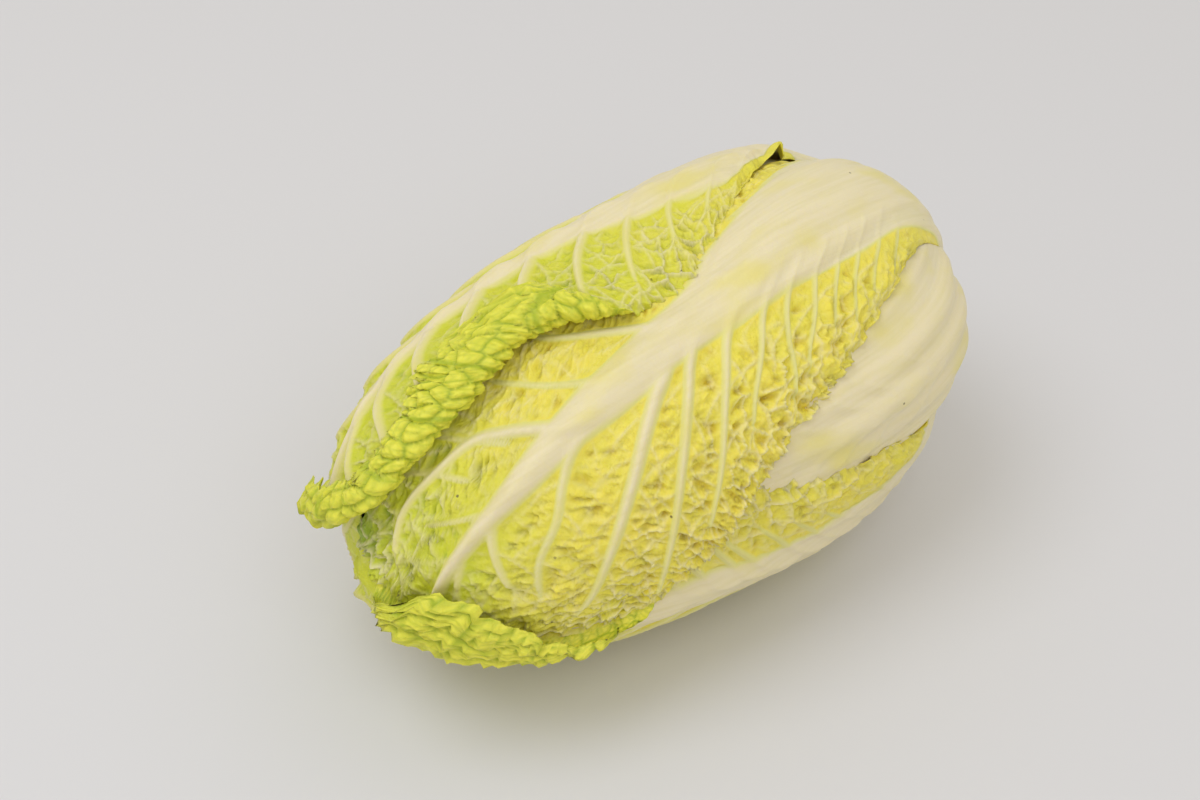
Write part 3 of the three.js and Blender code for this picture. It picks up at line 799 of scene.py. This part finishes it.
def roll_back(leaf, x, y, edge, foot_high, outer_high, inner_high, thickness, masks):
    """The outer and inner face of a leaf whose crinkled rim is rolled back over it."""
    seed = leaf.seed
    line, *_ = outline(leaf, -leaf.inset / leaf.strip)
    d, at, fold_x, fold_y, side, heading_x, heading_y = nearest(x, y, line[::2])
    run = at * edge.length
    zero = np.zeros_like(run)
    past_fold = np.where(side > 0, d, 0.0)
    out_x = np.where(d > 1e-6, (x - fold_x) / np.maximum(d, 1e-6), heading_y)
    out_y = np.where(d > 1e-6, (y - fold_y) / np.maximum(d, 1e-6), -heading_x)

    # round the fold, then straight on
    amount = smooth(rim_roll(leaf, fold_x, fold_y) / ROLL_SURE)
    rho = leaf.rho * (1 + 0.2 * noise(run / 13, zero, seed + 40))
    turn = amount * (leaf.turn_back + 0.14 * noise(run / 17, zero + 5, seed + 41))
    phi = np.minimum(past_fold / rho, turn)
    straight = past_fold - rho * turn
    past = np.maximum(straight, 0)
    forward = rho * np.sin(phi) + past * np.cos(turn)
    up = rho * (1 - np.cos(phi)) + past * np.sin(turn)
    rolled = smooth(past_fold / 3) * amount

    # lobes, blisters and small blisters on the strip
    slant = run + 0.25 * past_fold + 2.5 * noise(run / 9, past_fold / 9, seed + 44)
    lobe = dome(np.abs(cells(slant / 19, zero + 0.5, seed + 42, 0.6)), 0.4)
    size = leaf.pillow
    warped = run + 1.2 * noise(past_fold / 5, run / 5, seed + 45)
    small = cells(past_fold / (leaf.pillow_long * size), warped / size, seed + 43)
    tiny = cells(past_fold / 2.4, warped / 2.8, seed + 46)
    pillow = lobe + 0.4 * size * dome(small) + 0.55 * dome(tiny)
    pillow = smooth(edge.off / 3.5) * pillow
    overlap = 2.2 * (1 - edge.scallop) * smooth(edge.scallop / 0.12)
    overlap = overlap * smooth(straight / 8) * edge.rolled

    faces = []
    for high, padding in ((outer_high, overlap), (inner_high, thickness + pillow + overlap)):
        detail = (high - foot_high) * (1 - rolled) - rolled * padding
        off = forward - np.sin(phi) * detail
        faces.append(place(
            leaf, np.where(past_fold > 0, fold_x + out_x * off, x),
            np.where(past_fold > 0, fold_y + out_y * off, y),
            foot_high + np.where(past_fold > 0, up + np.cos(phi) * detail, detail)))

    # painted shade in the creases between the rim's blisters and in the gaps between its lobes
    crease_shade = bell(small * size, 0.55)
    crease_shade = np.maximum(crease_shade, 0.45 * bell(tiny * TINY_PILLOW, 0.45))
    crease_shade = np.maximum(crease_shade, bell(edge.scallop * SCALLOP - 1.2, 1.2))
    for key in ("net", "thin", "deep"):
        masks[key] = masks[key] * (1 - rolled)
    vein = 8 * rolled - 1 + np.minimum(masks["vein"], 0) * (1 - rolled)
    masks.update(rolled=rolled, groove=rolled * crease_shade, vein=np.maximum(masks["vein"], vein))
    return faces


def make_leaf(leaf):
    rows, cols = leaf.cells
    v = spaced(rows, lambda s: 0.3 + ease(s, 0.12, 0.25)
               + 0.5 * ease(s, 0.75, 0.2)
               + leaf.tip_dense * ease(s, 0.84, 0.05))
    u = spaced(cols, lambda s: 0.8 + 0.5 * ease(np.abs(s - 0.5), 0.1, 0.3)) * 2 - 1
    x, y = flat_grid(leaf, u, v)
    edge = free_edge(leaf, x, y)
    x, y = ragged(leaf, x, y, edge)
    relief, base, rise, masks = leaf_height(leaf, x, y, edge.off)
    share = y / leaf.length
    beside = x - value_at(leaf.sway, share)

    # a yellow strip along the right margin, with a tab near the stem
    strip = leaf.edge_strip * (beside > 0)
    tab = strip * bell(share - 0.272, 0.012) * bell(edge.off, 4.5)
    yellow = strip * bell(edge.off, 4) * ease(share, 0.2, 0.04)
    masks["vein"] = masks["vein"] + 16 * yellow
    # painted shade in a hollow near the front leaf's tip, added to the deep mask
    if leaf.hollow:
        across, along = leaf.hollow
        hollow_shade = bell(x - across, 15) * bell(y - along, 12)
        masks["deep"] = np.maximum(masks["deep"], 0.85 * hollow_shade)

    # the margin waves in and out, and leaves under others are smoother
    frill = np.where(beside > 0, value_at(leaf.frill_right, share),
                     value_at(leaf.frill_left, share))
    wave = 0.55 + noise(edge.run / 8, edge.off / 14, leaf.seed + 33)
    wave = wave + 0.45 * noise(edge.run / 3.4, edge.off / 7, leaf.seed + 34)
    relief = relief + frill * wave * np.exp(-edge.off / 7) * edge.blade
    relief = relief - leaf.press * np.exp(-edge.off / 4)
    foot_high = base + leaf.lift(beside, share) + 7 * tab
    _, hidden = stack_depth(leaf, ray_to(leaf.axes, x, y))
    outer_high = foot_high + (relief - base) * (1 - 0.75 * hidden)
    thickness = BLADE * (0.55 + 0.45 * smooth(edge.off / 4))
    inner_high = np.minimum(foot_high - base - rise, outer_high) - thickness

    if leaf.strip > 0:
        outer, inner = roll_back(leaf, x, y, edge, foot_high, outer_high, inner_high, thickness,
                                 masks)
    else:
        outer, inner = (place(leaf, x, y, high) for high in (outer_high, inner_high))
        masks.update(rolled=np.zeros_like(x), groove=np.zeros_like(x))
    masks["green"] = leaf.green(beside, share)
    uv = np.stack([np.clip((x + UV_WIDE / 2) / UV_WIDE, 0, 1), np.clip(y / UV_LONG, 0, 1)], -1)
    rows_kept = [i for i in range(rows + 1) if v[i] >= leaf.fine_rows or i % 3 == 0 or i == rows]
    cols_kept = [j for j in range(cols + 1) if u[j] >= leaf.fine_cols or j % 2 == 0 or j == cols]
    return grid_mesh(leaf.name, outer, inner, masks, uv, rows_kept, cols_kept)


# ======== materials
# painted shade in the blade's folds, yellow on the blade and green towards the tip
FOLD_SHADE_YELLOW, FOLD_SHADE_GREEN = (214, 178, 26), (134, 168, 22)
# the rolled rim's own colour, painted shade in the rim's grooves, and brown specks
ROLLED, GROOVE_SHADE, SPECK = (236, 231, 82), (146, 172, 22), (88, 78, 52)


def linear(*srgb):
    """A colour given as sRGB, 0 to 255, as Blender wants it."""
    return tuple(c / 255 / 12.92 if c / 255 <= 0.04045 else ((c / 255 + 0.055) / 1.055) ** 2.4
                 for c in srgb) + (1.0,)


class Skin:
    """A new material, with short ways to add nodes. Inputs are numbers, colours or sockets."""

    def __init__(self, name):
        self.material = bpy.data.materials.new(name)
        self.material.use_nodes = True
        self.tree = self.material.node_tree
        self.shader = self.tree.nodes["Principled BSDF"]

    def feed(self, node, inputs):
        for key, value in inputs.items():
            if isinstance(value, bpy.types.NodeSocket):
                self.tree.links.new(value, node.inputs[key])
            else:
                node.inputs[key].default_value = value

    def add(self, kind, inputs, **settings):
        node = self.tree.nodes.new("ShaderNode" + kind)
        for key, value in settings.items():
            setattr(node, key, value)
        self.feed(node, inputs)
        return node

    def attribute(self, key):
        return self.add("Attribute", {}, attribute_name=key).outputs["Fac"]

    def mix(self, factor, a, b):
        node = self.add("Mix", {MIX_FACTOR: factor, MIX_A: a, MIX_B: b}, data_type="RGBA")
        return node.outputs[MIX_RESULT]

    def math(self, operation, *values):
        return self.add("Math", dict(enumerate(values)), operation=operation).outputs[0]

    def ranged(self, value, low, high, to_low=0.0, to_high=1.0):
        """The value eased from one range to another."""
        return self.add("MapRange", dict(enumerate((value, low, high, to_low, to_high))),
                        interpolation_type="SMOOTHSTEP").outputs[0]

    def texture(self, kind, scale, stretch=(1, 1, 1), source="Object", **inputs):
        coordinates = self.add("TexCoord", {}).outputs[source]
        mapping = self.add("Mapping", {"Vector": coordinates, "Scale": stretch})
        return self.add(kind, {"Vector": mapping.outputs[0], "Scale": scale, **inputs})

    def noise(self, *at, **inputs):
        return self.texture("TexNoise", *at, **inputs).outputs["Fac"]

    def finish(self, color, height, strength, distance, settings):
        """The colour, the bump and the shader's own numbers."""
        bump = self.add("Bump", {"Strength": strength, "Distance": distance, "Height": height})
        self.feed(self.shader, {"Base Color": color, "Normal": bump.outputs[0], **settings})
        return self.material


def leaf_material(name, lamina, tip_green, rib):
    """Yellow blades, green towards the tip, with paler veins and cream ribs."""
    skin = Skin(name)

    def rib_shade(*darker):
        return linear(*(c - d for c, d in zip(rib, darker)))

    # the blade, painted shade in its folds, its rolled rim and painted shade in the rim's grooves
    green = skin.attribute("green")
    mottled = skin.noise(70, Detail=3.0)
    greener = skin.math("MULTIPLY_ADD", skin.math("SUBTRACT", mottled, 0.5), 0.7, green)
    color = skin.mix(greener, linear(*lamina), linear(*tip_green))
    fold_shade_color = skin.mix(green, linear(*FOLD_SHADE_YELLOW), linear(*FOLD_SHADE_GREEN))
    # painted shade in the blade's folds and valleys, from the deep mask
    color = skin.mix(skin.attribute("deep"), color, fold_shade_color)
    for key, share, shade in (("rolled", 0.85, ROLLED), ("groove", 0.75, GROOVE_SHADE),
                              ("net", 0.32, rib), ("thin", 0.4, rib)):
        color = skin.mix(skin.math("MULTIPLY", skin.attribute(key), share), color, linear(*shade))

    # the rib and the side veins, yellower towards their flanks, with streaks and specks
    vein = skin.attribute("vein")
    streak = skin.noise(1, (130, 9, 1), "UV", Detail=4.0)
    tint = skin.noise(26, (1, 2, 2), Detail=2.0)
    rib_color = skin.mix(skin.ranged(streak, 0.35, 0.8), linear(*rib), rib_shade(7, 7, 18))
    rib_color = skin.mix(skin.ranged(tint, 0.48, 0.72), rib_color, rib_shade(4, 4, 44))
    # yellower towards the flanks: partly the rib's real fade into the blade, partly painted shade
    rib_color = skin.mix(skin.ranged(vein, -2.4, 0.2), rib_color, rib_shade(8, 2, 52))
    color = skin.mix(skin.ranged(vein, -0.35, 0.75, 1.0, 0.0), color, rib_color)
    speck = skin.texture("TexVoronoi", 60, Randomness=1.0)
    chosen = skin.math("MULTIPLY", skin.ranged(speck.outputs["Distance"], 0.024, 0.045, 1.0, 0.0),
                       skin.ranged(speck.outputs["Color"], 0.54, 0.57))
    color = skin.mix(skin.math("MULTIPLY", chosen, 0.8), color, linear(*SPECK))

    grain = skin.noise(900, Detail=3.0)
    crinkle = skin.noise(330, Detail=4.0, Distortion=0.6)
    on_blade = skin.math("MULTIPLY", crinkle, skin.ranged(vein, -0.5, 1.5))
    height = skin.math("MULTIPLY_ADD", on_blade, 0.8, skin.math("MULTIPLY", grain, 0.12))
    height = skin.math("MULTIPLY_ADD", streak, 0.05, height)
    return skin.finish(color, height, 0.9, 0.0013, {
        "Roughness": 0.45, "Specular IOR Level": 0.35, "Subsurface Weight": 0.35,
        "Subsurface Radius": (1.0, 0.9, 0.35), "Subsurface Scale": 0.002})


def stem_material():
    """Cream flesh with faint rings, drier and browner at the rim of the cut."""
    skin = Skin("stem_flesh")
    rings = skin.add("TexNoise", {"Scale": 160, "Detail": 4}).outputs["Fac"]
    off_axis = skin.math("MULTIPLY_ADD", rings, 0.35, skin.attribute("off_axis"))
    colors = skin.add("ValToRGB", {0: off_axis})
    stops = [(0.2, (226, 214, 170)), (0.55, (236, 226, 190)), (0.8, (222, 206, 152)),
             (0.98, (234, 224, 186)), (1.0, (190, 152, 100))]
    elements = colors.color_ramp.elements
    for element, (at, shade) in zip(elements, (stops[0], stops[-1])):
        element.position, element.color = at, linear(*shade)
    for at, shade in stops[1:-1]:
        elements.new(at).color = linear(*shade)
    return skin.finish(colors.outputs[0], rings, 0.5, 0.0008, {
        "Roughness": 0.6, "Subsurface Weight": 0.3, "Subsurface Radius": (1.0, 0.8, 0.4),
        "Subsurface Scale": 0.002})


WRAPPER_SKIN = leaf_material("wrapper_leaf_skin", (243, 225, 88), (212, 216, 56), (234, 222, 184))
FOLDED_SKIN = leaf_material("folded_leaf_skin", (236, 228, 130), (170, 200, 50), (238, 232, 206))


# ======== stem and heart
def core_piece(key, profile, bulge, skin):
    """A solid turned about the head's axis from (x, radius) pairs that begin and end on it, in
    place of a node. off_axis is each point's share of its largest radius."""
    angle = np.linspace(0, 2 * math.pi, AROUND, endpoint=False)
    x, radius = np.array(profile, float).T
    out = (radius[:, None] + bulge(x[:, None], radius[:, None], angle))[1:-1]
    rings = np.stack([np.repeat(x[1:-1, None], AROUND, 1), out * np.cos(angle),
                      out * np.sin(angle)], -1).reshape(-1, 3)
    points = np.concatenate([rings, [(x[0], 0, 0), (x[-1], 0, 0)]])
    off_axis = np.hypot(points[:, 1], points[:, 2]) / radius.max()
    points[:, 2] += AXIS_HEIGHT + AXIS_RISE * points[:, 0]
    last = len(rings) - AROUND
    faces = []
    for j in range(AROUND):
        k = (j + 1) % AROUND
        faces += [(i + j, i + k, i + AROUND + k, i + AROUND + j) for i in range(0, last, AROUND)]
        faces += [(k, j, len(rings)), (last + j, last + k, len(rings) + 1)]
    mesh = bpy.data.meshes.new(f"{key}_looks")
    mesh.from_pydata((points + [SHIFT_X, SHIFT_Y, 0]) * MM, [], faces)
    mesh.polygons.foreach_set("use_smooth", np.ones(len(faces), bool))
    mesh.update()
    write_attribute(mesh, "off_axis", off_axis)
    mesh.materials.append(skin)
    piece = new_object(mesh.name, mesh)
    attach(piece, "root")
    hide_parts(key)


def span(key):
    """Where a node begins and ends along the head, and half its width, in millimetres."""
    low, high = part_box(key)
    return low.x / MM - SHIFT_X, high.x / MM - SHIFT_X, (high.y - low.y) / 2 / MM


def heart_and_stem():
    """The cut stem that holds the leaves, and the tight bud of small leaves at the middle."""
    flesh = stem_material()
    low, high, radius = span("stem")
    rounded = 0.12  # the share of the stem where its inner end is rounded off

    def stem_radius(t):
        if t > rounded:
            return radius * (0.9 + 0.1 * math.sin(math.pi * min(t * 1.2, 1)))
        return radius * 0.9 * math.sqrt(t / rounded + 0.02)

    def stem_bulge(x, r, a):
        ribs = 0.5 * np.cos(5 * a + x / 9) + 0.3 * np.cos(13 * a)
        return np.where(r > 0.5 * radius, ribs, 0) * np.where(x < high - 2, 1, 0.6)

    shaft = [(low + (high - 1 - low) * t, stem_radius(t)) for t in np.linspace(0, 1, 24)]
    face = [(high - 0.4, radius * 0.975)]
    face += [(high + 0.15 * math.sin(14 * r), radius * r) for r in np.linspace(0.94, 0.06, 16)]
    core_piece("stem", [(low, 0)] + shaft + face + [(high, 0)], stem_bulge, flesh)

    low, high, radius = span("heart")
    bud = [(low + (high - low) * (1 - math.cos(math.pi * t)) / 2,
            radius * math.sin(math.pi * t) ** 0.8) for t in np.linspace(0, 1, 60)[1:-1]]
    core_piece("heart", [(low, 0)] + bud + [(high, 0)],
               lambda x, r, a: -r * (0.05 + 0.05 * np.cos(5 * a + x / 14)
                                     + 0.02 * np.cos(17 * a - x / 5)), flesh)


for leaf in LEAVES:
    piece = make_leaf(leaf)
    piece.data.materials.append(WRAPPER_SKIN if leaf.slot == "wrapper_leaf" else FOLDED_SKIN)
    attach(piece, "root")
    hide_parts(leaf.node)
heart_and_stem()

# ======== floor, light and camera
bpy.ops.mesh.primitive_plane_add(size=6)
floor = bpy.context.object
floor.name = "floor"
paper = Skin("pale_floor")
paper.feed(paper.shader, {"Base Color": linear(218, 217, 219), "Roughness": 0.9})
floor.data.materials.append(paper.material)

world = bpy.data.worlds.new("studio")
bpy.context.scene.world = world
world.use_nodes = True
sky = world.node_tree.nodes["Background"].inputs
sky["Color"].default_value = (1, 0.965, 0.89, 1)
sky["Strength"].default_value = 0.7

LAMP_COLOR = (0.88, 0.92, 1)
LIT_PLACE = Vector((0, 0, 0.07))
AZIMUTH, ELEVATION, DISTANCE = -36 * DEGREE, 44 * DEGREE, 0.767
LENS = 60


def face_towards(thing, target):
    thing.rotation_euler = (target - thing.location).to_track_quat("-Z", "Y").to_euler()


def area_light(name, at, size, power):
    data = bpy.data.lights.new(name, "AREA")
    data.shape, data.size, data.energy, data.color = "DISK", size, power, LAMP_COLOR
    lamp = new_object(name, data)
    lamp.location = at
    face_towards(lamp, LIT_PLACE)


area_light("soft_key", (-0.7, 0.2, 1.7), 1.1, 9)
area_light("soft_fill", (-0.3, -1.1, 1.5), 1.2, 5)

target = Vector((-0.018 + SHIFT_X * MM, 0.012, 0.0755))
camera = new_object("camera", bpy.data.cameras.new("camera"))
camera.data.lens = LENS
camera.location = target + DISTANCE * Vector((math.sin(AZIMUTH) * math.cos(ELEVATION),
                                              -math.cos(AZIMUTH) * math.cos(ELEVATION),
                                              math.sin(ELEVATION)))
face_towards(camera, target)
bpy.context.scene.camera = camera
bpy.context.scene.view_settings.view_transform = "Standard"
